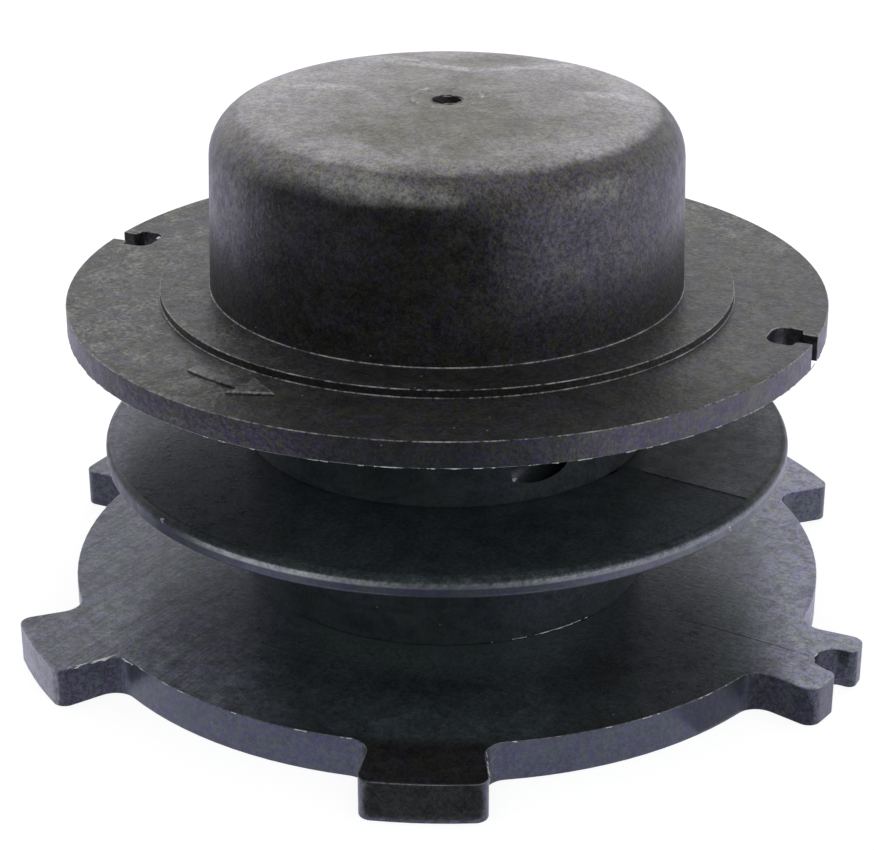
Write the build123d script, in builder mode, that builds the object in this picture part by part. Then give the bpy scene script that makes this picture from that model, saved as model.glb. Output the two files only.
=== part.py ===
import os
from math import radians, tan

from build123d import *

# Driving dimensions of the spool, mm and degrees
knob_base_d = 51.2
knob_h = 21.0
knob_draft = 1.7
knob_edge_round = 5.2
knob_crown = 1.0
knob_roof_t = 5.0

seat_d = 62.0
seat_h = 0.9

top_flange_d = 82.0
top_flange_t = 2.8
upper_chamber_h = 13.3
mid_flange_d = 75.4
mid_flange_t = 2.3
mid_upper_round = 0.8
mid_lower_chamfer = 0.5
lower_chamber_h = 13.8
drive_flange_d = 83.6
drive_flange_t = 4.4

hub_d = 44.4
hub_wall = 3.0
core_end_chamfer = 1.5
spring_boss_d = 12.0
spring_boss_h = 1.2

lug_count = 6
lug_proud = 7.3
lug_angle = 15.2
lug_tip_round = 1.4
lug_root_round = 2.4
index_notch_w = 4.8
index_notch_depth = 3.6
index_notch_offset = 0.7
index_notch_round = 0.9

key_count = 2
key_angle = 9.7
key_depth = 4.9
key_pocket_len = 3.1
key_pocket_w = 4.6
key_neck_w = 2.3
key_pocket_round = 1.5
key_shoulder_round = 0.5

eye_d = 3.5
eye_rise = 2.0
eye_inset = 3.5

gate_dish_d = 7.4
gate_dish_depth = 0.35
gate_pit_d = 3.2
gate_pit_depth = 1.8

cut_over = 1.0  # how far a cut runs past the face that it opens

# Heights of the faces above the underside of the drive flange
mid_bottom_z = drive_flange_t + lower_chamber_h
mid_top_z = mid_bottom_z + mid_flange_t
top_bottom_z = mid_top_z + upper_chamber_h
top_top_z = top_bottom_z + top_flange_t
seat_z = top_top_z + seat_h
knob_top_z = top_top_z + knob_h
knob_rim_z = knob_top_z - knob_crown
core_top_z = knob_rim_z - knob_roof_t
spring_boss_z = core_top_z - spring_boss_h
lower_eye_z = drive_flange_t + eye_rise + eye_d / 2
upper_eye_z = mid_top_z + eye_rise + eye_d / 2

# Radii about the spool's axis
knob_base_r = knob_base_d / 2
knob_rim_r = knob_base_r - (knob_rim_z - seat_z) * tan(radians(knob_draft))
seat_r = seat_d / 2
top_r = top_flange_d / 2
mid_r = mid_flange_d / 2
hub_r = hub_d / 2
bore_r = hub_r - hub_wall
spring_boss_r = spring_boss_d / 2
eye_x = hub_r - eye_inset
drive_r = drive_flange_d / 2
lug_r = drive_r + lug_proud
notch_end_r = lug_r - index_notch_depth + index_notch_w / 2
key_in_r = top_r - key_depth
key_out_r = key_in_r + key_pocket_len
gate_dish_r = gate_dish_d / 2
gate_pit_r = gate_pit_d / 2

# One drive lug in plan: a sector of the lug circle
with BuildSketch() as lug_plan:
    with BuildLine():
        lug_tip = CenterArc((0, 0), lug_r, -lug_angle / 2, lug_angle)
        Line((0, 0), lug_tip @ 0)
        Line((0, 0), lug_tip @ 1)
    make_face()

# Drive flange in plan, with the index notch in the lug on +X
with BuildSketch() as drive_plan:
    Circle(drive_r)
    with PolarLocations(0, lug_count):
        add(lug_plan.sketch)
    fillet(drive_plan.vertices().group_by(SortBy.DISTANCE)[0], lug_root_round)
    fillet(drive_plan.vertices().group_by(SortBy.DISTANCE)[-1], lug_tip_round)
    Circle((bore_r + hub_r) / 2, mode=Mode.SUBTRACT)
    with Locations((notch_end_r, index_notch_offset)):
        Circle(index_notch_w / 2, mode=Mode.SUBTRACT)
        Rectangle(
            index_notch_depth + cut_over,
            index_notch_w,
            align=(Align.MIN, Align.CENTER),
            mode=Mode.SUBTRACT,
        )
    notch_mouth = drive_plan.vertices().sort_by(Axis.X)[-2:]
    fillet(notch_mouth, index_notch_round)

# Keyhole that parks a line end: a wide pocket with a narrow neck out to the rim
with BuildSketch(Plane.XY.offset(top_bottom_z)) as keyhole_plan:
    with BuildLine():
        keyhole = FilletPolyline(
            (top_r + cut_over, key_neck_w / 2),
            (key_out_r, key_neck_w / 2),
            (key_out_r, key_pocket_w / 2),
            (key_in_r, key_pocket_w / 2),
            (key_in_r, -key_pocket_w / 2),
            (key_out_r, -key_pocket_w / 2),
            (key_out_r, -key_neck_w / 2),
            (top_r + cut_over, -key_neck_w / 2),
            radius=[
                key_shoulder_round,
                key_shoulder_round,
                key_pocket_round,
                key_pocket_round,
                key_shoulder_round,
                key_shoulder_round,
            ],
        )
        Line(keyhole @ 1, keyhole @ 0)
    make_face()

with BuildPart() as spool:
    # Hub, middle flange, top flange and bump knob, turned as one hollow profile
    with BuildSketch(Plane.XZ) as profile:
        with BuildLine():
            Polyline(
                (0, knob_top_z),
                (0, 0),
                (hub_r, 0),
                (hub_r, mid_bottom_z),
                (mid_r, mid_bottom_z),
                (mid_r, mid_top_z),
                (hub_r, mid_top_z),
                (hub_r, top_bottom_z),
                (top_r, top_bottom_z),
                (top_r, top_top_z),
                (seat_r, top_top_z),
                (seat_r, seat_z),
                (knob_base_r, seat_z),
                (knob_rim_r, knob_rim_z),
            )
            TangentArc((0, knob_top_z), (knob_rim_r, knob_rim_z), tangent=(1, 0))
        make_face()
        fillet(profile.vertices().sort_by_distance((knob_rim_r, knob_rim_z))[0], knob_edge_round)
        fillet(profile.vertices().sort_by_distance((mid_r, mid_top_z))[0], mid_upper_round)
        chamfer(profile.vertices().sort_by_distance((mid_r, mid_bottom_z))[0], mid_lower_chamfer)

        # Spring hollow: a straight bore with a boss under the knob's roof
        with BuildLine():
            Polyline(
                (0, -cut_over),
                (bore_r, -cut_over),
                (bore_r, core_top_z),
                (spring_boss_r, core_top_z),
                (spring_boss_r, spring_boss_z),
                (0, spring_boss_z),
                close=True,
            )
        make_face(mode=Mode.SUBTRACT)
        chamfer(profile.vertices().sort_by_distance((bore_r, core_top_z))[0], core_end_chamfer)

        # Scar of the injection gate at the top of the knob
        with BuildLine():
            Polyline(
                (0, knob_top_z + cut_over),
                (gate_dish_r, knob_top_z + cut_over),
                (gate_dish_r, knob_top_z),
                (gate_pit_r, knob_top_z - gate_dish_depth),
                (gate_pit_r, knob_top_z - gate_pit_depth),
                (0, knob_top_z - gate_pit_depth),
                close=True,
            )
        make_face(mode=Mode.SUBTRACT)
    revolve(axis=Axis.Z)

    # Drive flange with its lugs, rooted in the hub's wall
    extrude(drive_plan.sketch, amount=drive_flange_t)

    # Line eye in each chamber, cored along Y as far as the mould's parting plane
    with BuildSketch(Plane.XZ) as upper_eye:
        with Locations((eye_x, upper_eye_z)):
            Circle(eye_d / 2)
    extrude(amount=hub_r, mode=Mode.SUBTRACT)
    with BuildSketch(Plane.XZ) as lower_eye:
        with Locations((-eye_x, lower_eye_z)):
            Circle(eye_d / 2)
    extrude(amount=-hub_r, mode=Mode.SUBTRACT)

    # Keyholes in the rim of the top flange
    with PolarLocations(0, key_count, start_angle=key_angle):
        add(extrude(keyhole_plan.sketch, amount=top_flange_t, mode=Mode.PRIVATE), mode=Mode.SUBTRACT)

spool.part.label = "spool"

os.makedirs("parts", exist_ok=True)
export_step(spool.part, "parts/spool.step")
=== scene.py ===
import math

import bmesh
import bpy
from mathutils import Matrix, Vector, noise


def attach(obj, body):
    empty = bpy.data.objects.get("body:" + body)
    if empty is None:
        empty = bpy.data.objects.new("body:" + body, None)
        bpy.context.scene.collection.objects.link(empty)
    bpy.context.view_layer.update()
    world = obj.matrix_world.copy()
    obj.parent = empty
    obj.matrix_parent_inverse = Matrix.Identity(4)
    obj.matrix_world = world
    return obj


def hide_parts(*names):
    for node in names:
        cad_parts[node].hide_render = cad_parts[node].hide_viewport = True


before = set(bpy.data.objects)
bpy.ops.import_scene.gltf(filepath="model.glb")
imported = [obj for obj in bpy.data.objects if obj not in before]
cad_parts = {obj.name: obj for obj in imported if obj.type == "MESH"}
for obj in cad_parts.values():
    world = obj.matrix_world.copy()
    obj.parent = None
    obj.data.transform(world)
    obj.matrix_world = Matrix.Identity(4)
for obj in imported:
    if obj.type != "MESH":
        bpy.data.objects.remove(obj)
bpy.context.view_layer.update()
scene = bpy.context.scene
mm = 0.001
noise.seed_set(4)  # the same ragged shapes each run
print("frame loaded")


def addNode(tree, kind, sockets=None, **settings):
    made = tree.nodes.new(kind)
    for name, value in settings.items():
        setattr(made, name, value)
    for name, value in (sockets or {}).items():
        if isinstance(value, bpy.types.NodeSocket):
            tree.links.new(value, made.inputs[name])
        else:
            made.inputs[name].default_value = value
    return made


def calc(tree, operation, first, second=0.0, clamp=False):
    return addNode(tree, "ShaderNodeMath", {0: first, 1: second}, operation=operation, use_clamp=clamp).outputs[0]


def times(tree, *values):
    product = values[0]
    for value in values[1:]:
        product = calc(tree, "MULTIPLY", product, value)
    return product


def mixed(tree, first, second, share):
    return addNode(tree, "ShaderNodeMix", {0: share, 2: first, 3: second}).outputs[0]


def ease(tree, value, low, high, toLow=0.0, toHigh=1.0):
    sockets = {"Value": value, "From Min": low, "From Max": high, "To Min": toLow, "To Max": toHigh}
    return addNode(tree, "ShaderNodeMapRange", sockets, interpolation_type="SMOOTHSTEP").outputs[0]


def between(tree, value, low, high, soft):
    return times(tree, ease(tree, value, low - soft, low), ease(tree, value, high + soft, high))


def vectorCalc(tree, operation, first, second):
    return addNode(tree, "ShaderNodeVectorMath", {0: first, 1: second}, operation=operation)


def cloud(tree, vector, scale, detail=3.0, rough=0.55, warp=0.0):
    sockets = {"Vector": vector, "Scale": scale, "Detail": detail, "Roughness": rough, "Distortion": warp}
    return addNode(tree, "ShaderNodeTexNoise", sockets).outputs[0]


def blendColour(tree, amount, first, second, mode="MIX"):
    made = addNode(tree, "ShaderNodeMix", data_type="RGBA", blend_type=mode)
    for socket, value in ((made.inputs[0], amount), (made.inputs[6], first), (made.inputs[7], second)):
        if isinstance(value, bpy.types.NodeSocket):
            tree.links.new(value, socket)
        else:
            socket.default_value = value
    return made.outputs[2]


def patch(tree, spot, centre, size, turn=0.0):
    # soft oval patch, full inside a third of its reach
    sockets = {"Vector": spot, "Location": centre, "Rotation": (0, 0, math.radians(turn)), "Scale": size}
    inside = addNode(tree, "ShaderNodeMapping", sockets, vector_type="TEXTURE").outputs[0]
    return ease(tree, vectorCalc(tree, "LENGTH", inside, (0, 0, 0)).outputs["Value"], 1.0, 0.3)


def newMaterial(name):
    material = bpy.data.materials.new(name)
    material.use_nodes = True
    return material, material.node_tree, material.node_tree.nodes["Principled BSDF"]


def millimetres(tree):
    place = addNode(tree, "ShaderNodeTexCoord").outputs["Object"]
    return addNode(tree, "ShaderNodeVectorMath", {0: place, "Scale": 1000.0}, operation="SCALE").outputs[0]


def finishPiece(bm, name, material, smooth=True):
    mesh = bpy.data.meshes.new(name)
    bm.to_mesh(mesh)
    bm.free()
    for face in mesh.polygons:
        face.use_smooth = smooth
    piece = bpy.data.objects.new(name, mesh)
    scene.collection.objects.link(piece)
    mesh.materials.append(material)
    return piece


def onSpool(piece):
    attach(piece, "root")
    return piece


# satin black moulding, lengths in mm
plasticLook = {
    "knobDark": (0.0102, 0.0104, 0.0092, 1),
    # painted fill light: the lighter teal skin inside the chambers
    "chamberPaintedFill": (0.034, 0.043, 0.0445, 1),
    "olive": (0.0145, 0.0145, 0.0078, 1),
    "violet": (0.0195, 0.0155, 0.031, 1),
    "fleck": (0.04, 0.039, 0.042, 1),
    "dustAndSheen": (0.12, 0.12, 0.108, 1),         # pale specks on the top flange, part dust, part painted sheen
    "paintedFootFill": (0.09, 0.11, 0.11, 1),
    "flankSheenGrey": (0.228, 0.234, 0.236, 1),    # painted sheen on the drive flange's flanks
    "flankSheenBlue": (0.212, 0.2, 0.345, 1),
    "rimSheenGrey": (0.05, 0.055, 0.052, 1),      # and on the upright rims
    "rimSheenBlue": (0.04, 0.038, 0.078, 1),
    "tipHighlight": (0.2, 0.2, 0.21, 1),
    "rimRubAndHighlight": (0.42, 0.42, 0.435, 1),
    "wallSheen": (0.052, 0.047, 0.064, 1),
    "roofGrey": (0.072, 0.07, 0.055, 1),
    "roofPale": (0.3, 0.282, 0.338, 1),
    "roofOlive": (0.282, 0.278, 0.232, 1),
    "streak": (0.44, 0.43, 0.45, 1),
    "scuff": (0.125, 0.122, 0.118, 1),
    "worn": (0.25, 0.25, 0.255, 1),
    "speck": (0.2, 0.2, 0.21, 1),
    "glossOlive": (1.0, 0.98, 0.8, 1),
    "glossViolet": (0.82, 0.75, 1.0, 1),
    "glossTeal": (0.7, 0.88, 0.92, 1),      # cooler on the lower flanges
    "glossBlue": (0.74, 0.71, 1.0, 1),
    "glossMean": (0.62, 0.61, 0.66, 1),
    "right": (0.839, 0.544, 0),              # across the roof's pale flanks
    "rear": (-0.544, 0.839, 0),
    "roofEdge": (56.05, 56.75),             # heights over which the rubbed roof begins
    "roofEdgeSoft": (53.2, 57.0),
    # pale flow streaks on the roof: centre, half sizes, turn
    "streaks": [((-12.6, 10.8, 57), (7.0, 2.2, 4), -4.0), ((-6.0, 10.6, 57), (5.2, 1.3, 4), 8.0),
                ((-1.6, 13.4, 57), (5.0, 1.4, 4), 44.0), ((2.4, 18.0, 57), (5.0, 1.8, 4), 60.0),
                ((-14.0, -2.6, 57), (6.0, 1.8, 4), 12.0), ((13.6, 11.2, 57), (5.5, 1.8, 4), 20.0)],
    "greyPatch": ((-4.2, 16.6, 57), (7.0, 2.6, 4), 40.0),
    # rubs on the shoulder
    "rubs": [((5.2, -24.2, 55.1), (8.5, 5.0, 1.9)), ((12.0, -21.8, 54.7), (6.0, 4.0, 1.3)),
             ((23.4, -8.2, 53.6), (3.4, 6.4, 1.9))],
    "draft": 0.045,                          # slope of the middle flange away from the parting plane
    "roughness": (0.36, 0.48),
    "lowRoughness": (0.26, 0.36),
    "ior": 1.9,
}


def makePlastic():
    look = plasticLook
    material, tree, shader = newMaterial("spoolPlastic")
    spot = millimetres(tree)
    elsewhere = vectorCalc(tree, "ADD", spot, (31, 17, 53)).outputs[0]
    axes = addNode(tree, "ShaderNodeSeparateXYZ", {0: spot}).outputs
    height = axes["Z"]
    flat = vectorCalc(tree, "MULTIPLY", spot, (1, 1, 0)).outputs[0]
    radius = vectorCalc(tree, "LENGTH", flat, (0, 0, 0)).outputs["Value"]
    across = vectorCalc(tree, "DOT_PRODUCT", spot, look["right"]).outputs["Value"]
    aside = calc(tree, "ABSOLUTE", across)
    rear = vectorCalc(tree, "DOT_PRODUCT", spot, look["rear"]).outputs["Value"]

    # flow of the melt, mottling and fine grain
    swept = {"Vector": spot, "Rotation": (0.3, 0.25, 0), "Scale": (0.8, 0.8, 1.8)}
    flow = cloud(tree, addNode(tree, "ShaderNodeMapping", swept).outputs[0], 0.2, 5.0, 0.64, 1.0)
    mottle = cloud(tree, spot, 0.5, 4.0, 0.7, 0.5)
    hue = mixed(tree, cloud(tree, elsewhere, 0.3, 4.0, 0.66, 0.8), cloud(tree, elsewhere, 2.0, 2.0, 0.65), 0.62)
    grain = mixed(tree, cloud(tree, spot, 4.6, 1.0, 0.5), cloud(tree, spot, 1.9, 2.0, 0.65), 0.55)

    # moulded skin, darker on the knob; the lighter teal skin in the chambers is painted fill light, and the hub gets
    # less of it
    outside = calc(tree, "MAXIMUM", ease(tree, height, 33.2, 34.0), ease(tree, radius, 40.0, 43.0))
    skin = blendColour(tree, outside, look["chamberPaintedFill"], look["knobDark"])
    hubLessFill = times(tree, ease(tree, radius, 22.6, 22.3), ease(tree, height, 34.2, 33.6))
    skin = blendColour(tree, times(tree, hubLessFill, 0.45), skin, look["knobDark"])
    skin = blendColour(tree, ease(tree, hue, 0.48, 0.62, 0.0, 0.6), skin, look["violet"])
    skin = blendColour(tree, ease(tree, hue, 0.5, 0.38, 0.0, 0.5), skin, look["olive"])
    skin = blendColour(tree, 1.0, skin, ease(tree, mixed(tree, flow, mottle, 0.3), 0.36, 0.64, 0.72, 1.3), "MULTIPLY")
    flecks = times(tree, ease(tree, cloud(tree, spot, 2.9, 2.0, 0.65), 0.55, 0.74, 0.0, 0.6),
                   ease(tree, aside, 2.0, 20.0, 0.3, 1.0))
    skin = blendColour(tree, flecks, skin, look["fleck"])

    # pale specks on the top flange, few in front: part dust, part painted sheen at the left and rear
    tops = between(tree, height, 36.55, 37.7, 0.05)
    rubbed = calc(tree, "MAXIMUM", ease(tree, across, -12.0, -34.0), ease(tree, rear, -4.0, 22.0))
    specks = mixed(tree, cloud(tree, spot, 2.0, 2.0, 0.7), cloud(tree, elsewhere, 0.35, 3.0, 0.6), 0.45)
    specks = ease(tree, specks, 0.49, 0.62, 0.0, 0.88)
    skin = blendColour(tree, times(tree, tops, rubbed, specks), skin, look["dustAndSheen"])
    # painted shade on the upright face of the seat's step
    seatWallShade = times(tree, between(tree, height, 36.65, 37.42, 0.03), between(tree, radius, 30.9, 31.1, 0.05))
    skin = blendColour(tree, times(tree, seatWallShade, 0.8), skin, look["knobDark"])

    # painted sheen on the flanks of the drive flange and the left edge of the middle flange, combed along Y by the
    # opening mould at the left
    bluish = ease(tree, hue, 0.43, 0.57)
    combed = addNode(tree, "ShaderNodeMapping", {"Vector": spot, "Scale": (3.0, 0.05, 0.2)}).outputs[0]
    drag = cloud(tree, combed, 1.0, 3.0, 0.65)
    driveTop = between(tree, height, 4.3, 4.5, 0.06)
    midTop = between(tree, height, 20.4, 20.6, 0.1)
    combing = times(tree, ease(tree, across, -16.0, -34.0), driveTop)
    flowSheen = ease(tree, flow, 0.36, 0.6, 0.225, 0.375)
    leftSheen = blendColour(tree, combing, flowSheen, ease(tree, drag, 0.38, 0.6, 0.165, 0.375))
    leftSheen = times(tree, leftSheen, ease(tree, across, -14.0, -29.0))
    rightSheen = times(tree, ease(tree, across, 30.5, 39.5), ease(tree, flow, 0.36, 0.6, 0.82, 1.08))
    paintedSheen = times(tree, calc(tree, "ADD", leftSheen, rightSheen), driveTop)
    paintedSheen = calc(tree, "ADD", paintedSheen, times(tree, midTop, ease(tree, across, -32.5, -36.5), 0.5))
    paintedSheen = times(tree, paintedSheen, ease(tree, mottle, 0.36, 0.64, 0.62, 1.38))
    # painted shade: darker on the drive flange at the right and on the middle flange at both sides
    paintedShade = times(tree, driveTop, between(tree, across, 15.0, 27.0, 6.0), ease(tree, rear, 10.0, -4.0), 0.6)
    midLeft = times(tree, midTop, ease(tree, across, -14.0, -22.0))
    midRight = times(tree, midTop, ease(tree, across, 27.0, 34.0))
    paintedShade = calc(tree, "ADD", paintedShade, times(tree, calc(tree, "ADD", midLeft, midRight), 0.5))
    skin = blendColour(tree, paintedShade, skin, look["knobDark"])
    # painted light on the drive flange just in front of the hub, against its contact shade
    paintedFootLight = times(tree, driveTop, ease(tree, radius, 22.25, 22.6), ease(tree, radius, 31.0, 24.0), ease(tree, rear, 6.0, -12.0))
    skin = blendColour(tree, times(tree, paintedFootLight, ease(tree, aside, 20.0, 12.0), 0.5), skin, look["paintedFootFill"])
    sheen = blendColour(tree, bluish, look["flankSheenGrey"], look["flankSheenBlue"])
    skin = blendColour(tree, paintedSheen, skin, sheen)
    upright = ease(tree, height, 4.38, 4.25)
    # painted sheen on the rear right lug
    rearLug = times(tree, upright, ease(tree, radius, 42.2, 43.0), ease(tree, across, 36.0, 40.0))
    skin = blendColour(tree, times(tree, rearLug, ease(tree, rear, 4.0, 10.0), 0.28), skin, sheen)

    # painted sheen on the upright rims, and a pale band on the middle flange's round that is painted highlight with
    # some rubbed wear
    driveRim = times(tree, upright, between(tree, radius, 41.7, 42.0, 0.1), 0.85)
    topRim = times(tree, between(tree, height, 33.9, 36.45, 0.05), ease(tree, radius, 40.9, 40.98))
    topRimSheen = calc(tree, "MAXIMUM", ease(tree, across, -12.0, 34.0, 0.3, 1.0),
                   ease(tree, across, -28.0, -38.0, 0.0, 0.6))
    middleRim = times(tree, between(tree, height, 18.3, 19.4, 0.3), ease(tree, radius, 37.3, 37.6))
    rims = calc(tree, "MAXIMUM", driveRim, calc(tree, "MAXIMUM", times(tree, topRim, topRimSheen), middleRim))
    clouds = ease(tree, cloud(tree, spot, 0.4, 4.0, 0.65), 0.3, 0.62, 0.5, 1.0)
    rimSheen = blendColour(tree, bluish, look["rimSheenGrey"], look["rimSheenBlue"])
    skin = blendColour(tree, times(tree, rims, clouds), skin, rimSheen)
    # painted highlight on the lug tips, full at the left
    tipFace = times(tree, ease(tree, radius, 48.7, 48.95), ease(tree, across, -30.0, -41.0, 0.13, 1.0),
                    ease(tree, height, 4.5, 4.3))
    skin = blendColour(tree, times(tree, tipFace, clouds), skin, look["tipHighlight"])
    rounding = times(tree, ease(tree, radius, 37.45, 37.6), between(tree, height, 19.45, 19.75, 0.26))
    rubbed = times(tree, rounding, ease(tree, cloud(tree, spot, 1.2, 2.0, 0.6), 0.3, 0.6, 0.6, 1.0),
                   ease(tree, aside, 1.0, 18.0, 0.2, 1.0), ease(tree, across, -29.0, -21.0, 0.0, 1.0),
                   ease(tree, across, 4.0, 18.0, 1.0, 0.5))
    skin = blendColour(tree, rubbed, skin, look["rimRubAndHighlight"])
    # painted highlight on the right of the middle rim
    rightRim = times(tree, middleRim, ease(tree, across, 6.0, 30.0, 0.0, 0.3), clouds)
    skin = blendColour(tree, rightRim, skin, look["rimRubAndHighlight"])

    # painted sheen on the knob's wall, strong and violet at the right, faint at the left
    wall = times(tree, ease(tree, height, 41.0, 49.0), ease(tree, height, 55.6, 53.8), ease(tree, radius, 27.0, 26.5))
    sides = calc(tree, "MAXIMUM", ease(tree, across, 2.0, 15.0), ease(tree, across, -5.0, -16.0, 0.0, 0.3))
    sheen = times(tree, wall, sides, ease(tree, mixed(tree, flow, mottle, 0.4), 0.36, 0.64, 0.35, 0.85))
    skin = blendColour(tree, sheen, skin, look["wallSheen"])

    # rubbed roof of the knob; its paleness towards the flanks and the rear, and down the left shoulder, is painted
    # sheen
    level = calc(tree, "ADD", height, ease(tree, cloud(tree, spot, 0.4, 3.0, 0.6), 0.25, 0.75, -0.12, 0.12))
    crisp = ease(tree, level, *look["roofEdge"])
    soft = ease(tree, level, *look["roofEdgeSoft"])
    leftward = ease(tree, across, -3.0, -17.0)
    roof = times(tree, calc(tree, "MAXIMUM", crisp, times(tree, soft, leftward, 0.55)), ease(tree, radius, 1.6, 1.9))
    rub = mixed(tree, cloud(tree, spot, 0.12, 5.0, 0.66, 1.2), flow, 0.35)
    pale = calc(tree, "ADD", ease(tree, aside, 1.0, 18.0, 0.0, 0.28), ease(tree, rear, -14.0, 14.0, 0.0, 0.45))
    pale = calc(tree, "ADD", pale, ease(tree, radius, 14.0, 21.0, -0.04, 0.26))
    pale = calc(tree, "ADD", pale, ease(tree, rub, 0.34, 0.66, -0.26, 0.28), True)
    full = blendColour(tree, ease(tree, hue, 0.57, 0.41, 0.0, 0.7), look["roofPale"], look["roofOlive"])
    top = blendColour(tree, pale, look["roofGrey"], full)
    wisps = ease(tree, cloud(tree, spot, 0.7, 4.0, 0.7), 0.36, 0.66, 0.1, 0.9)
    for centre, size, turn in look["streaks"]:
        top = blendColour(tree, times(tree, patch(tree, spot, centre, size, turn), wisps), top, look["streak"])
    centre, size, turn = look["greyPatch"]
    top = blendColour(tree, times(tree, patch(tree, spot, centre, size, turn), 0.75), top, look["roofGrey"])
    uneven = calc(tree, "ADD", radius, ease(tree, cloud(tree, spot, 0.6, 3.0, 0.6), 0.2, 0.8, -0.5, 0.5))
    top = blendColour(tree, times(tree, between(tree, uneven, 1.9, 3.4, 0.3), 0.45), top, look["roofGrey"])
    dishEdge = times(tree, between(tree, uneven, 3.6, 3.8, 0.25), ease(tree, mottle, 0.46, 0.6, 0.0, 0.6))
    top = blendColour(tree, dishEdge, top, look["streak"])
    skin = blendColour(tree, roof, skin, top)

    # pale rubs on the shoulder
    for centre, size in look["rubs"]:
        rubbed = times(tree, patch(tree, spot, centre, size), ease(tree, mixed(tree, flow, mottle, 0.45), 0.34, 0.64))
        skin = blendColour(tree, rubbed, skin, look["scuff"])

    # fine grain, calmer on the rims and the hub, then a few dust specks
    calm = calc(tree, "MAXIMUM", rims, times(tree, ease(tree, radius, 24.0, 23.0), ease(tree, height, 34.2, 33.6)))
    texture = ease(tree, mixed(tree, grain, mottle, 0.15), 0.36, 0.64, 0.66, 1.36)
    skin = blendColour(tree, calc(tree, "SUBTRACT", 1.0, times(tree, calm, 0.85)), skin, texture, "MULTIPLY")
    cells = addNode(tree, "ShaderNodeTexVoronoi", {"Vector": spot, "Scale": 0.7}).outputs
    dust = times(tree, ease(tree, cells["Distance"], 0.075, 0.03), ease(tree, cells["Color"], 0.62, 0.8))
    skin = blendColour(tree, dust, skin, look["speck"])

    # pale worn edges, uneven along their length, faint on the lower flanges; the seat's edge keeps its pale line only
    # towards the front, a painted highlight
    edge = addNode(tree, "ShaderNodeAttribute", attribute_name="edgeWear").outputs["Fac"]
    chips = mixed(tree, cloud(tree, spot, 0.3, 2.0, 0.6), cloud(tree, spot, 1.8, 2.0, 0.7), 0.5)
    seat = times(tree, between(tree, height, 36.7, 38.5, 0.1), ease(tree, rear, -6.0, 12.0))
    worn = times(tree, edge, ease(tree, chips, 0.38, 0.64), ease(tree, height, 20.0, 34.0, 0.3, 1.0),
                 calc(tree, "SUBTRACT", 1.0, seat))
    skin = blendColour(tree, worn, skin, look["worn"])
    tree.links.new(skin, shader.inputs["Base Color"])

    # places that are rougher than the rest, and places whose gloss is dulled as painted shade
    foot = times(tree, ease(tree, height, 47.0, 39.0), ease(tree, height, 37.6, 37.9))
    nearHub = times(tree, midTop, ease(tree, radius, 36.0, 27.0), ease(tree, across, 6.0, 24.0))
    ringTop = times(tree, ease(tree, radius, 36.8, 37.1), between(tree, height, 20.15, 20.6, 0.15))
    ringFront = times(tree, ringTop, ease(tree, aside, 30.0, 22.0))
    leftRim = times(tree, between(tree, height, 18.2, 20.6, 0.2), ease(tree, radius, 37.2, 37.5),
                    ease(tree, across, -18.0, -30.0))
    turnRim = times(tree, leftRim, ease(tree, across, -32.0, -29.0))
    frontTop = times(tree, tops, ease(tree, rear, -20.0, -33.0))
    leftLug = times(tree, upright, between(tree, radius, 42.4, 48.2, 0.3), ease(tree, across, -26.0, -32.0))
    satin = cloud(tree, spot, 0.6, 3.0, 0.75)
    upper = ease(tree, satin, 0.3, 0.65, *look["roughness"])
    for place, change in ((foot, 0.14), (nearHub, 0.14), (ringFront, 0.3), (turnRim, 0.2), (midLeft, -0.12), (midRight, 0.1)):
        upper = calc(tree, "ADD", upper, times(tree, place, change))
    lower = ease(tree, satin, 0.3, 0.65, *look["lowRoughness"])
    tree.links.new(blendColour(tree, ease(tree, height, 8.0, 6.0), upper, lower), shader.inputs["Roughness"])

    # the gloss follows the grain and the mottling
    gloss = blendColour(tree, ease(tree, hue, 0.43, 0.57), look["glossOlive"], look["glossViolet"])
    lowGloss = blendColour(tree, ease(tree, hue, 0.42, 0.54), look["glossTeal"], look["glossBlue"])
    gloss = blendColour(tree, ease(tree, height, 34.5, 33.0), gloss, lowGloss)
    combs = calc(tree, "MAXIMUM", ease(tree, drag, 0.36, 0.54, 0.6, 1.0), calc(tree, "SUBTRACT", 1.0, combing))
    # dulled gloss is painted shade: the top of the middle rim, its left side, near the hub, the front of the top
    # flange, the knob's foot and the left lug
    dull = times(tree, ringTop, 0.9)
    for place, share in ((leftRim, 0.6), (turnRim, 0.9), (nearHub, 0.85), (frontTop, 0.75), (foot, 0.55), (leftLug, 0.25)):
        dull = calc(tree, "MAXIMUM", dull, times(tree, place, share))
    grit = ease(tree, mixed(tree, grain, mottle, 0.15), 0.38, 0.62, 0.42, 1.0)
    grit = times(tree, grit, calc(tree, "SUBTRACT", 1.0, times(tree, rims, 0.6)))
    grit = calc(tree, "ADD", grit, times(tree, rims, 0.43))
    shine = times(tree, grit, combs, calc(tree, "SUBTRACT", 1.0, dull))
    shader.inputs["Specular Tint"].default_value = look["glossMean"]
    tree.links.new(blendColour(tree, 1.0, gloss, shine, "MULTIPLY"), shader.inputs["Specular Tint"])

    # draft away from the parting plane, and the grain, as heights in mm
    middle = between(tree, height, 17.0, 20.55, 0.05)
    draft = times(tree, calc(tree, "ABSOLUTE", axes["Y"]), -look["draft"], middle)
    pores = times(tree, cloud(tree, spot, 1.8, 2.0, 0.6), ease(tree, height, 20.0, 34.0, 0.025, 0.055))
    bump = addNode(tree, "ShaderNodeBump", {"Strength": 1.0, "Distance": mm, "Height": calc(tree, "ADD", draft, pores)})
    tree.links.new(bump.outputs[0], shader.inputs["Normal"])
    shader.inputs["IOR"].default_value = look["ior"]
    return material


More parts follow.
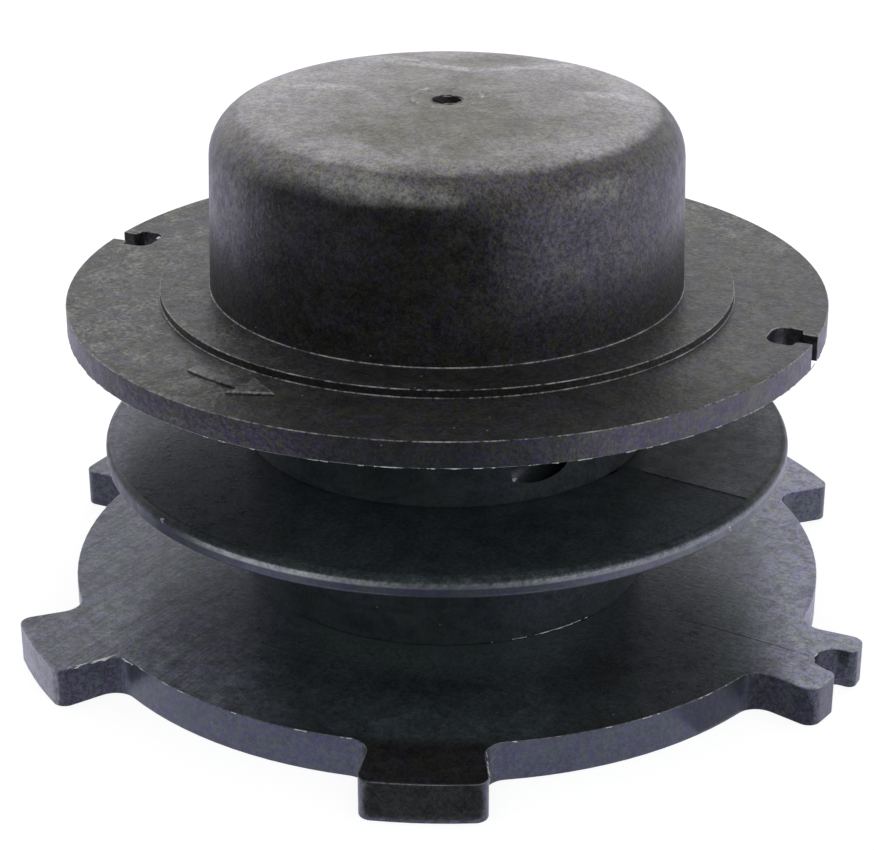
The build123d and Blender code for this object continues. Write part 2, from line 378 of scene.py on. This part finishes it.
shellSettings = {
    "weld": 0.001 * mm,
    "flat": 0.5,
    "sharp": 25.0,
    "round": 0.1 * mm,
    "hubRadius": 22.2 * mm,
    "ringRadius": 37.7 * mm,
    "ringLow": 18.2 * mm,
    "ringHigh": 20.5 * mm,
    "ringRound": 0.8 * mm,
    "ringChamfer": 0.5 * mm,
    "ringGap": 0.4 * mm,
    "ringSteps": 240,
}


def respinMiddleFlange(bm):
    # the middle flange's rim, spun again in even steps
    ring = shellSettings
    slack = ring["weld"]

    def isRing(vert):
        wide = vert.co.xy.length > ring["hubRadius"] - 0.05 * mm
        return wide and ring["ringLow"] - slack < vert.co.z < ring["ringHigh"] + slack

    old = [f for f in bm.faces if all(isRing(v) for v in f.verts)]
    bmesh.ops.delete(bm, geom=old, context="FACES")
    inner = ring["hubRadius"] + ring["ringGap"]
    corners = [(inner, ring["ringLow"]), (ring["ringRadius"], ring["ringLow"]),
               (ring["ringRadius"], ring["ringHigh"]), (inner, ring["ringHigh"])]
    verts = [bm.verts.new((x, 0, z)) for x, z in corners]
    before = set(bm.verts) - set(verts)
    for pair in zip(verts, verts[1:]):
        bm.edges.new(pair)
    bmesh.ops.bevel(bm, geom=[verts[2]], offset=ring["ringRound"], offset_type="OFFSET", segments=8,
                    profile=0.5, affect="VERTICES", material=-1)
    bmesh.ops.bevel(bm, geom=[verts[1]], offset=ring["ringChamfer"], offset_type="OFFSET", segments=5,
                    profile=0.5, affect="VERTICES", material=-1)
    profile = [v for v in bm.verts if v not in before]
    strip = profile + list({e for v in profile for e in v.link_edges})
    bmesh.ops.spin(bm, geom=strip, cent=(0, 0, 0), axis=(0, 0, 1), angle=math.tau,
                   steps=ring["ringSteps"], use_merge=True)
    for level in (ring["ringLow"], ring["ringHigh"]):
        gap = [e for e in bm.edges if e.is_boundary and abs(e.verts[0].co.z - level) < slack]
        bmesh.ops.bridge_loops(bm, edges=gap)
    bmesh.ops.recalc_face_normals(bm, faces=bm.faces)


def keepsSharp(edge):
    # corners where the hub meets the middle and top flanges
    place = (edge.verts[0].co + edge.verts[1].co) / 2
    return place.xy.length < 23.5 * mm and 4 * mm < place.z < 34.2 * mm


def makeShell(material):
    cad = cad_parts["spool"]
    bm = bmesh.new()
    bm.from_mesh(cad.data)
    bmesh.ops.remove_doubles(bm, verts=bm.verts, dist=shellSettings["weld"])
    flat = math.radians(shellSettings["flat"])
    bmesh.ops.dissolve_limit(bm, angle_limit=flat, verts=bm.verts, edges=bm.edges)
    respinMiddleFlange(bm)
    wear = bm.loops.layers.float.new("edgeWear")
    sharp = math.radians(shellSettings["sharp"])
    edges = [e for e in bm.edges if e.is_manifold and e.calc_face_angle() > sharp and not keepsSharp(e)]
    rounded = bmesh.ops.bevel(bm, geom=edges, offset=shellSettings["round"], offset_type="OFFSET", segments=2,
                              profile=0.5, affect="EDGES", material=-1, clamp_overlap=False)
    for face in rounded["faces"]:
        for loop in face.loops:
            loop[wear] = 1.0
    for edge in bm.edges:
        if edge.is_manifold and edge.calc_face_angle() > sharp and keepsSharp(edge):
            edge.smooth = False
    print("open edges", sum(not e.is_manifold for e in bm.edges))
    shell = onSpool(finishPiece(bm, "spoolShell", material))
    shading = shell.modifiers.new("evenShading", "WEIGHTED_NORMAL")
    shading.weight = 80
    shading.keep_sharp = True
    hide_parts("spool")
    print("shell", len(shell.data.polygons), "faces,", len(edges), "edges rounded")
    return shell


spoolPlastic = makePlastic()
shell = makeShell(spoolPlastic)


# pale torn plastic of the moulding's flash
flashLook = {"pale": (0.55, 0.55, 0.56, 1), "dull": (0.07, 0.07, 0.073, 1), "roughness": 0.55}


def makeFlashMaterial():
    material, tree, shader = newMaterial("tornFlash")
    patches = ease(tree, cloud(tree, millimetres(tree), 1.6, 4.0, 0.7), 0.34, 0.56)
    tree.links.new(blendColour(tree, patches, flashLook["dull"], flashLook["pale"]), shader.inputs["Base Color"])
    shader.inputs["Roughness"].default_value = flashLook["roughness"]
    return material


def polar(radius, angle, height):
    return Vector((radius * math.cos(math.radians(angle)), radius * math.sin(math.radians(angle)), height)) * mm


# lines of flash: from and to as radius and angle, height, how far it leans out and up, share left out
flashSettings = {
    "topRim": {"from": (41.0, 0), "to": (41.0, 360), "height": 33.88, "lean": (0.012, -0.12), "gaps": 0.05},
    "leftLugFlank": {"from": (42.3, -112.2), "to": (48.0, -112.7), "height": 4.4, "lean": (0.24, -0.2), "gaps": -0.9,
                     "facing": -22.4},
    "leftLugRoot": {"from": (41.9, -108.5), "to": (42.2, -112.0), "height": 4.36, "lean": (0.15, -0.15), "gaps": -0.1,
                    "facing": -60.0},
    "frontLugTip": {"from": (48.95, -66.4), "to": (48.95, -53.6), "height": 4.36, "lean": (0.08, -0.2), "gaps": 0.0},
    "frontLugFlank": {"from": (42.6, -52.2), "to": (48.2, -52.5), "height": 4.36, "lean": (0.16, -0.34), "gaps": -0.15,
                      "facing": 37.6},
    "rightLugFlank": {"from": (41.9, -7.2), "to": (47.8, -7.5), "height": 4.36, "lean": (0.1, -0.14), "gaps": -0.1,
                      "facing": -97.6},
    "notchEnd": {"from": (2.4, 172), "to": (2.4, 262), "height": 4.36, "lean": (-0.14, -0.16), "gaps": -0.2,
                 "centre": (47.9, 0.7)},
    "hubBase": {"from": (22.2, -31), "to": (22.2, -14), "height": 4.5, "lean": (0.09, -0.11), "gaps": -0.25},
    "hubBaseFaint": {"from": (22.2, -45), "to": (22.2, -31), "height": 4.46, "lean": (0.05, -0.06), "gaps": -0.1},
    "driveRimRight": {"from": (41.78, -50), "to": (41.78, -14), "height": 4.4, "lean": (0.05, -0.12), "gaps": 0.12},
    "driveRimLeft": {"from": (41.78, -107), "to": (41.78, -70), "height": 4.4, "lean": (0.05, -0.1), "gaps": 0.22},
    "thick": 0.05,
    "step": 0.16,
}


def addFlash(bm, line):
    oldVerts = set(bm.verts)
    oldEdges = set(bm.edges)
    (r0, a0), (r1, a1) = line["from"], line["to"]
    middle = Vector((*line.get("centre", (0, 0)), 0)) * mm
    first = bm.verts.new(polar(r0, a0, line["height"]) + middle)
    if "facing" in line:
        last = bm.verts.new(polar(r1, a1, line["height"]))
        long = (last.co - first.co).length / mm
        run = bm.edges.new((first, last))
        bmesh.ops.subdivide_edges(bm, edges=[run], cuts=int(long / flashSettings["step"]))
    else:
        long = r0 * math.radians(a1 - a0)
        bmesh.ops.spin(bm, geom=[first], cent=middle, axis=(0, 0, 1), angle=math.radians(a1 - a0),
                       steps=int(long / flashSettings["step"]), use_merge=a1 - a0 == 360)
    run = [e for e in bm.edges if e not in oldEdges]
    made = bmesh.ops.extrude_edge_only(bm, edges=run)["geom"]
    out, up = line["lean"]
    for vert in [v for v in made if isinstance(v, bmesh.types.BMVert)]:
        outward = polar(1, line["facing"], 0) if "facing" in line else (vert.co - middle) * Vector((1, 1, 0))
        reach = 0.6 + 0.55 * noise.noise(vert.co / mm * 1.9)
        vert.co += (outward.normalized() * out + Vector((0, 0, up))) * reach * mm
    torn = [f for f in made if isinstance(f, bmesh.types.BMFace)
            and noise.noise(f.calc_center_median() / mm * 0.8) < line["gaps"]]
    bmesh.ops.delete(bm, geom=torn, context="FACES")
    loose = [v for v in bm.verts if v not in oldVerts and not v.link_faces]
    bmesh.ops.delete(bm, geom=loose, context="VERTS")


# torn crumbs that stand on the surface: place, half sizes
crumbSettings = {
    "middleLeft": (polar(37.55, -107.8, 19.9), (0.34, 0.2, 0.32)),
    "middleRight": (polar(37.6, -7.3, 19.2), (0.28, 0.2, 0.4)),
    "eyeTip": (polar(22.15, -39.0, 23.2), (0.2, 0.3, 0.22)),
    "keyhole": (polar(36.3, 188.2, 36.55), (0.26, 0.3, 0.14)),
    "gateLeft": (polar(2.0, 165, 57.2), (0.34, 0.22, 0.14)),
    "gateRight": (polar(1.9, 30, 57.2), (0.2, 0.2, 0.14)),
    "leftLug": (polar(47.6, -113.2, 1.6), (0.2, 0.2, 0.26)),
}


def makeFlash(material):
    bm = bmesh.new()
    for line in flashSettings.values():
        if isinstance(line, dict):
            addFlash(bm, line)
    bmesh.ops.solidify(bm, geom=bm.faces, thickness=flashSettings["thick"] * mm)
    for place, size in crumbSettings.values():
        shape = Matrix.Translation(place) @ Matrix.Diagonal((*size, 1)) @ Matrix.Scale(mm, 4)
        crumb = bmesh.ops.create_icosphere(bm, subdivisions=2, radius=1, matrix=shape)["verts"]
        for vert in crumb:
            vert.co += noise.noise_vector(vert.co / mm * 3.1) * 0.09 * mm
    bmesh.ops.recalc_face_normals(bm, faces=bm.faces)
    flash = onSpool(finishPiece(bm, "mouldFlash", material, False))
    print("flash", len(flash.data.polygons), "faces")


makeFlash(makeFlashMaterial())


# raised lines where the mould halves met: x from and to, height of the face, share of the rise at the end
partingSettings = {
    "lines": [(22.3, 36.9, 20.5, 1.0), (-22.3, -36.9, 20.5, 1.0), (45.1, 28.0, 4.4, 0.0), (-48.4, -28.0, 4.4, 0.0)],
    "wide": 0.22,
    "tall": 0.075,
}


def makePartingLines(material):
    bm = bmesh.new()
    half = partingSettings["wide"] / 2
    tall = partingSettings["tall"]
    for first, last, level, share in partingSettings["lines"]:
        section = [(0, -half, -0.05), (0, half, -0.05), (0, 0, tall)]
        corners = [bm.verts.new(Vector((first + x, y, level + z)) * mm) for x, y, z in section]
        end = bm.faces.new(corners)
        run = bmesh.ops.extrude_face_region(bm, geom=[end], use_keep_orig=True)["geom"]
        moved = [v for v in run if isinstance(v, bmesh.types.BMVert)]
        bmesh.ops.translate(bm, verts=moved, vec=((last - first) * mm, 0, 0))
        peak = max(moved, key=lambda v: v.co.z)
        peak.co.z -= tall * (1 - share) * mm
    bmesh.ops.recalc_face_normals(bm, faces=bm.faces)
    onSpool(finishPiece(bm, "partingLines", material, False))
    print("parting lines", len(partingSettings["lines"]))


makePartingLines(spoolPlastic)


# raised winding arrow on the top flange
arrowSettings = {
    "radius": 34.6,
    "wide": 1.5,
    "headWide": 4.4,
    "from": -104.0,
    "neck": -92.5,
    "tip": -86.0,
    "level": 36.6,
    "tall": 0.3,
    "round": 0.16,
}


def makeWindingArrow(material):
    arrow = arrowSettings
    bm = bmesh.new()
    sunk = arrow["level"] - 0.1
    inner = arrow["radius"] - arrow["wide"] / 2
    outer = arrow["radius"] + arrow["wide"] / 2
    tail = [bm.verts.new(polar(r, arrow["from"], sunk)) for r in (inner, outer)]
    side = bm.edges.new(tail)
    turn = math.radians(arrow["neck"] - arrow["from"])
    swept = bmesh.ops.spin(bm, geom=tail + [side], cent=(0, 0, 0), axis=(0, 0, 1), angle=turn, steps=14)
    neck = sorted((v for v in swept["geom_last"] if isinstance(v, bmesh.types.BMVert)), key=lambda v: v.co.xy.length)
    barbs = [bm.verts.new(polar(arrow["radius"] + s * arrow["headWide"] / 2, arrow["neck"] - 0.6, sunk)) for s in (-1, 1)]
    tip = bm.verts.new(polar(arrow["radius"], arrow["tip"], sunk))
    bm.faces.new((neck[0], barbs[0], tip, barbs[1], neck[1]))
    bmesh.ops.recalc_face_normals(bm, faces=bm.faces)
    wear = bm.loops.layers.float.new("edgeWear")
    raised = bmesh.ops.extrude_face_region(bm, geom=list(bm.faces), use_keep_orig=True)["geom"]
    lifted = [v for v in raised if isinstance(v, bmesh.types.BMVert)]
    bmesh.ops.translate(bm, verts=lifted, vec=(0, 0, (arrow["tall"] + 0.1) * mm))
    bmesh.ops.recalc_face_normals(bm, faces=bm.faces)
    lip = [e for e in bm.edges if e.verts[0] in lifted and e.verts[1] in lifted and e.calc_face_angle(0) > 1]
    edges = bmesh.ops.bevel(bm, geom=lip, offset=arrow["round"] * mm, offset_type="OFFSET", segments=2,
                            profile=0.5, affect="EDGES", material=-1)
    for face in bm.faces:
        for loop in face.loops:
            loop[wear] = 0.85 if face in edges["faces"] else 0.3
    raisedArrow = onSpool(finishPiece(bm, "windingArrow", material))
    shading = raisedArrow.modifiers.new("evenShading", "WEIGHTED_NORMAL")
    shading.weight = 80
    print("winding arrow made")


makeWindingArrow(spoolPlastic)


# ragged lip round the gate's pit
gateSettings = {"radius": 1.62, "level": 57.22, "wide": 0.4, "tall": 0.16, "steps": 44}


def makeGateLip(material):
    gate = gateSettings
    bm = bmesh.new()
    start = bm.verts.new(polar(gate["radius"], 0, gate["level"] - 0.2))
    bmesh.ops.spin(bm, geom=[start], cent=(0, 0, 0), axis=(0, 0, 1), angle=math.tau, steps=gate["steps"], use_merge=True)
    rim = list(bm.edges)
    for outward, rise in ((0.0, gate["tall"] + 0.2), (gate["wide"] * 0.5, -0.03), (gate["wide"] * 0.5, -gate["tall"] - 0.1)):
        made = bmesh.ops.extrude_edge_only(bm, edges=rim)["geom"]
        rim = [e for e in made if isinstance(e, bmesh.types.BMEdge)]
        for vert in [v for v in made if isinstance(v, bmesh.types.BMVert)]:
            away = Vector((vert.co.x, vert.co.y, 0)).normalized()
            vert.co += (away * outward + Vector((0, 0, rise))) * mm
            vert.co += noise.noise_vector(vert.co / mm * 1.7) * 0.16 * mm
            vert.co.z = min(vert.co.z, 57.5 * mm)
    bmesh.ops.recalc_face_normals(bm, faces=bm.faces)
    lip = onSpool(finishPiece(bm, "gateLip", material, True))
    wall = lip.modifiers.new("wall", "SOLIDIFY")
    wall.thickness = 0.05 * mm
    wall.offset = -1
    print("gate lip made")


makeGateLip(spoolPlastic)


stageSettings = {
    "floorSize": 3.0,
    "floorColour": (0.2, 0.2, 0.21, 1),
    "floorGlow": 0.86,
    "floorDark": (34.0, 40.0),           # no glow under the drive flange, radius in mm
    "floorTint": (1.0, 0.97, 1.22, 1),   # cool cast of the floor in the part's own gloss
    # dark cards round the camera's side: inner and outer radius, height, from and to in
    # degrees off the front, glow
    "flags": {
        # lugFlag and cornerFlag are painted shade: cards seen only in the part's gloss, standing in for the shade on
        # the floor in front of the front lug and in the corner by the right lug's flank
        "lugFlag": (0.0496, 0.058, 0.0008, -14.0, 9.0, 0.0),
        "cornerFlag": (0.0420, 0.050, 0.0015, 38.0, 50.0, 0.38),
        "frontFlag": (0.058, 0.42, 0.42, -34.0, 30.0, 0.0),
        "leftFlag": (0.115, 0.42, 0.42, -98.0, -34.0, 0.0),
    },
}


def showsBackground(tree):
    path = addNode(tree, "ShaderNodeLightPath").outputs
    either = calc(tree, "MAXIMUM", path["Is Camera Ray"], path["Is Glossy Ray"])
    return calc(tree, "MAXIMUM", either, path["Is Transmission Ray"])


def makeFloor():
    bm = bmesh.new()
    below = Matrix.Translation((0, 0, -0.02 * mm))
    bmesh.ops.create_grid(bm, x_segments=1, y_segments=1, size=stageSettings["floorSize"], matrix=below)
    material, tree, shader = newMaterial("paleFloor")
    shader.inputs["Base Color"].default_value = stageSettings["floorColour"]
    shader.inputs["Roughness"].default_value = 0.9
    seen = addNode(tree, "ShaderNodeLightPath").outputs["Is Camera Ray"]
    cast = blendColour(tree, seen, stageSettings["floorTint"], (1, 1, 1, 1))
    tree.links.new(cast, shader.inputs["Emission Color"])
    away = vectorCalc(tree, "LENGTH", millimetres(tree), (0, 0, 0)).outputs["Value"]
    glow = times(tree, showsBackground(tree), ease(tree, away, *stageSettings["floorDark"]), stageSettings["floorGlow"])
    tree.links.new(glow, shader.inputs["Emission Strength"])
    finishPiece(bm, "floor", material, False)


cameraSettings = {
    "place": (128.006 * mm, -199.310 * mm, 126.493 * mm),
    "turn": 32.976,
    "tilt": 65.766,
    "roll": -0.085,
    "lens": 95.906,
}


def makeCamera():
    data = bpy.data.cameras.new("camera")
    data.sensor_fit = "HORIZONTAL"
    data.sensor_width = 36
    data.lens = cameraSettings["lens"]
    data.clip_start = 0.01
    camera = bpy.data.objects.new("camera", data)
    turn = Matrix.Rotation(math.radians(cameraSettings["turn"]), 4, "Z")
    tilt = Matrix.Rotation(math.radians(cameraSettings["tilt"]), 4, "X")
    roll = Matrix.Rotation(math.radians(cameraSettings["roll"]), 4, "Z")
    camera.matrix_world = Matrix.Translation(cameraSettings["place"]) @ turn @ tilt @ roll
    scene.collection.objects.link(camera)
    scene.camera = camera


def makeFlags():
    for name, (inner, outer, tall, first, last, glow) in stageSettings["flags"].items():
        material, tree, shader = newMaterial(name)
        shader.inputs["Base Color"].default_value = (0.01, 0.01, 0.01, 1)
        shader.inputs["Roughness"].default_value = 0.9
        shader.inputs["Specular IOR Level"].default_value = 0.0
        shader.inputs["Emission Color"].default_value = stageSettings["floorTint"]
        shader.inputs["Emission Strength"].default_value = glow
        bm = bmesh.new()
        corners = [bm.verts.new(p) for p in ((inner, 0, 0.1 * mm), (outer, 0, 0.1 * mm), (outer, 0, tall))]
        wire = [bm.edges.new(pair) for pair in zip(corners, corners[1:])]
        start = Matrix.Rotation(math.radians(cameraSettings["turn"] - 90 + first), 3, "Z")
        bmesh.ops.rotate(bm, verts=corners, cent=(0, 0, 0), matrix=start)
        bmesh.ops.spin(bm, geom=corners + wire, cent=(0, 0, 0), axis=(0, 0, 1),
                       angle=math.radians(last - first), steps=24, use_merge=False)
        flag = finishPiece(bm, name, material, False)
        flag.visible_camera = False
        flag.visible_diffuse = False
        flag.visible_shadow = False


lampSettings = {
    "overhead": {"place": (0.0, 0.05, 0.62), "aim": (0, 0, 0.05), "size": (0.55, 0.55), "power": 2.0,
                 "colour": (1, 1, 1), "glossy": False},
    "frontFill": {"place": (0.27, -0.42, 0.16), "aim": (0, 0, 0.02), "size": (0.5, 0.3), "power": 0.9,
                  "colour": (0.9, 1.0, 0.98), "glossy": False},
}


def makeLamps():
    for name, lamp in lampSettings.items():
        data = bpy.data.lights.new(name, "AREA")
        data.shape = "RECTANGLE"
        data.size, data.size_y = lamp["size"]
        data.energy = lamp["power"]
        data.color = lamp["colour"]
        made = bpy.data.objects.new(name, data)
        made.location = lamp["place"]
        made.rotation_euler = (Vector(lamp["aim"]) - Vector(lamp["place"])).to_track_quat("-Z", "Y").to_euler()
        made.visible_camera = False
        made.visible_glossy = lamp["glossy"]
        scene.collection.objects.link(made)


def makeWorld():
    world = bpy.data.worlds.new("whiteRoom")
    scene.world = world
    world.use_nodes = True
    tree = world.node_tree
    glow = calc(tree, "ADD", times(tree, showsBackground(tree), 0.55), 0.45)
    back = tree.nodes["Background"]
    back.inputs["Color"].default_value = (1, 1, 1, 1)
    tree.links.new(glow, back.inputs["Strength"])


makeCamera()
makeFloor()
makeFlags()
makeLamps()
makeWorld()
scene.view_settings.view_transform = "Standard"
print("stage set")
